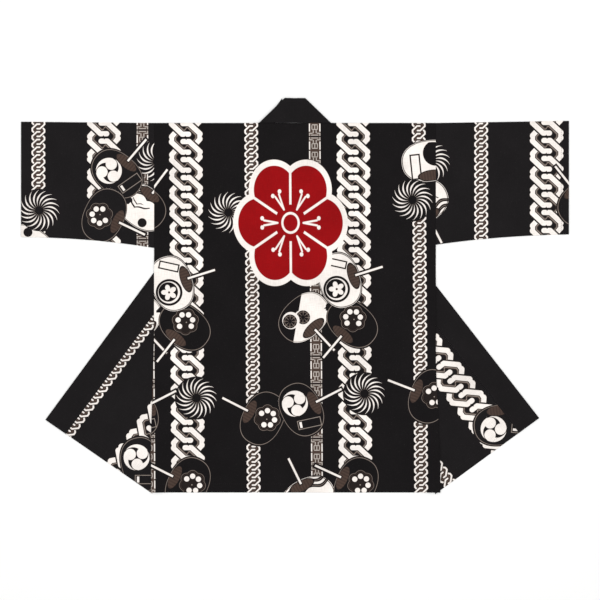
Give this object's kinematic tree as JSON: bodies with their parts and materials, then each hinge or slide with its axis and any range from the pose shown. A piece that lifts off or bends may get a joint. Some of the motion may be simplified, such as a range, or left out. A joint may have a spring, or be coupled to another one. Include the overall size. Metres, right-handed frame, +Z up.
{
  "type": "happi coat",
  "caption": "Short straight-cut coat with open fronts, square sleeves and a doubled collar band, laid flat with its back up and its fronts turned outward.",
  "frame": {"origin": "on the surface that the coat lies on, under the middle of its outline", "axes": "+X across the coat from the left cuff to the right cuff, +Y from the hem to the collar, +Z up from the surface"},
  "size_m": [1.278, 0.924, 0.0078],
  "materials": {
    "printed_cotton": "matt black cotton printed with off-white chain stripes and fans",
    "collar_cotton": "matt black cotton, doubled"
  },
  "bodies": {
    "root": {"back": "printed_cotton", "front_left": "printed_cotton", "front_right": "printed_cotton", "sleeve_left": "printed_cotton", "sleeve_right": "printed_cotton", "collar_back": "collar_cotton", "collar_left": "collar_cotton", "collar_right": "collar_cotton"}
  },
  "joints": []
}
